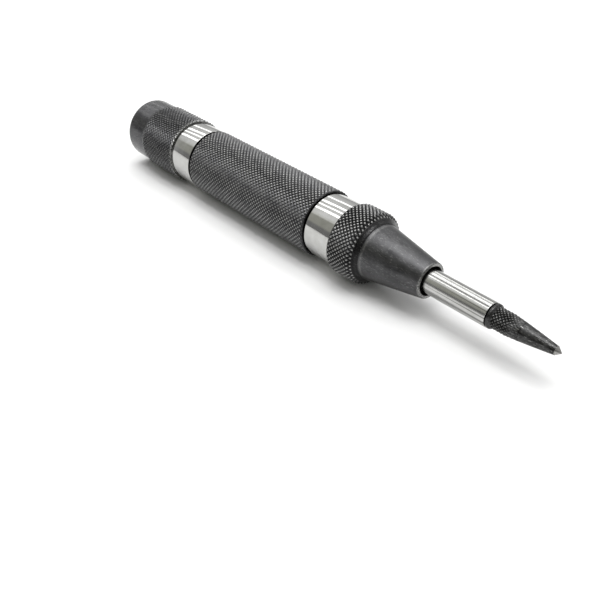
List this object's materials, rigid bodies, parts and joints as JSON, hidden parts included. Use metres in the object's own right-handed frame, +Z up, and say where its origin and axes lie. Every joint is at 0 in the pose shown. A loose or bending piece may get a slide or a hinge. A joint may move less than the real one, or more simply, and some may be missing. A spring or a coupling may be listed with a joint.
{
  "type": "automatic center punch",
  "caption": "Spring-loaded center punch: knurled barrel, turning adjusting cap, conical nose with a sliding rod and a replaceable point, and its trip mechanism inside.",
  "frame": {"origin": "on the surface that the punch lies on, halfway along its length, under its axis", "axes": "+X along the axis towards the point, +Z up"},
  "size_m": [0.152, 0.0188, 0.0188],
  "materials": {
    "cap_black_oxide": "knurled black oxide on steel, with a bright-turned land beside the barrel",
    "barrel_black_oxide": "diamond-knurled black oxide on steel",
    "nose_black_oxide": "turned black oxide on steel, knurled collar and a bright-turned land",
    "bright_plate": "bright nickel plate",
    "point_black_oxide": "black oxide on hardened steel, tip ground bright",
    "inner_steel": "turned and hardened steel, lightly oiled",
    "spring_wire": "drawn spring steel wire"
  },
  "bodies": {
    "barrel": {"barrel": "barrel_black_oxide", "nose_piece": "nose_black_oxide", "trip_bush": "inner_steel", "main_spring": "spring_wire", "trip_spring": "spring_wire"},
    "spindle": {"spindle": "bright_plate", "punch_point": "point_black_oxide"},
    "trip_pin": {"trip_pin": "inner_steel"},
    "hammer": {"hammer": "inner_steel"},
    "spring_seat": {"spring_seat": "inner_steel"},
    "cap": {"adjusting_cap": "cap_black_oxide"}
  },
  "joints": [
    {"name": "spindle_slide", "type": "slide", "parent": "barrel", "child": "spindle", "axis": [-1, 0, 0], "range_m": [0, 0.0085], "stiffness_N_per_m": 3000, "springref_m": -0.01, "deforming": ["trip_spring"]},
    {"name": "hammer_slide", "type": "slide", "parent": "barrel", "child": "hammer", "axis": [-1, 0, 0], "range_m": [0, 0.0085], "deforming": ["main_spring"]},
    {"name": "pin_tilt", "type": "hinge", "parent": "spindle", "child": "trip_pin", "pos_m": [0.01575, 0, 0.00938], "axis": [0, -1, 0], "range_deg": [0, 2.34]},
    {"name": "cap_travel", "type": "slide", "parent": "barrel", "child": "spring_seat", "axis": [-1, 0, 0], "range_m": [0, 0.005], "deforming": ["main_spring"]},
    {"name": "cap_turn", "type": "hinge", "parent": "spring_seat", "child": "cap", "pos_m": [-0.06, 0, 0.00938], "axis": [-1, 0, 0], "range_deg": [0, 1800]}
  ],
  "couplings": [
    {"joint": "hammer_slide", "follows": "spindle_slide", "ratio": 1},
    {"joint": "pin_tilt", "follows": "spindle_slide", "rad_per_m": 4.798},
    {"joint": "cap_turn", "follows": "cap_travel", "rad_per_m": 6283.2}
  ]
}
